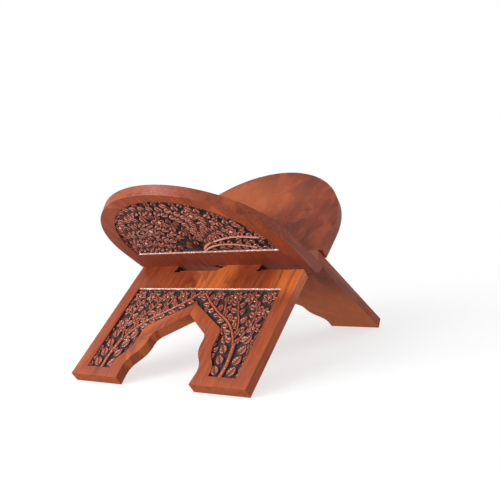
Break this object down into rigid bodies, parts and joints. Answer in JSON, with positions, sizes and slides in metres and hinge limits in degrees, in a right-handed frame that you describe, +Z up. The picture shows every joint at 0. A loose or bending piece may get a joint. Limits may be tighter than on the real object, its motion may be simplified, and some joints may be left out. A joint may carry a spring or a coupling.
{
  "type": "folding book stand",
  "caption": "Folding wooden book rest of interlocked boards with a knuckle joint, arched leaves, cut-out feet and carved floral panels.",
  "frame": {"origin": "on the surface the stand rests on, straight below the middle of the hinge axis", "axes": "+X runs to the right along the hinge axis, +Y points to the back, away from the front leaf, and +Z points up; the stand is open on its stops"},
  "size_m": [0.203, 0.2684, 0.1784],
  "materials": {
    "varnished_hardwood": "red-brown rosewood type hardwood under a glossy varnish, darker in the carved ground"
  },
  "bodies": {
    "front_board": {"front_board": "varnished_hardwood"},
    "rear_board": {"rear_board": "varnished_hardwood"}
  },
  "joints": [
    {"name": "knuckle_hinge", "type": "hinge", "parent": "front_board", "child": "rear_board", "pos_m": [0, 0, 0.09271], "axis": [1, 0, 0], "range_deg": [0, 108]}
  ]
}
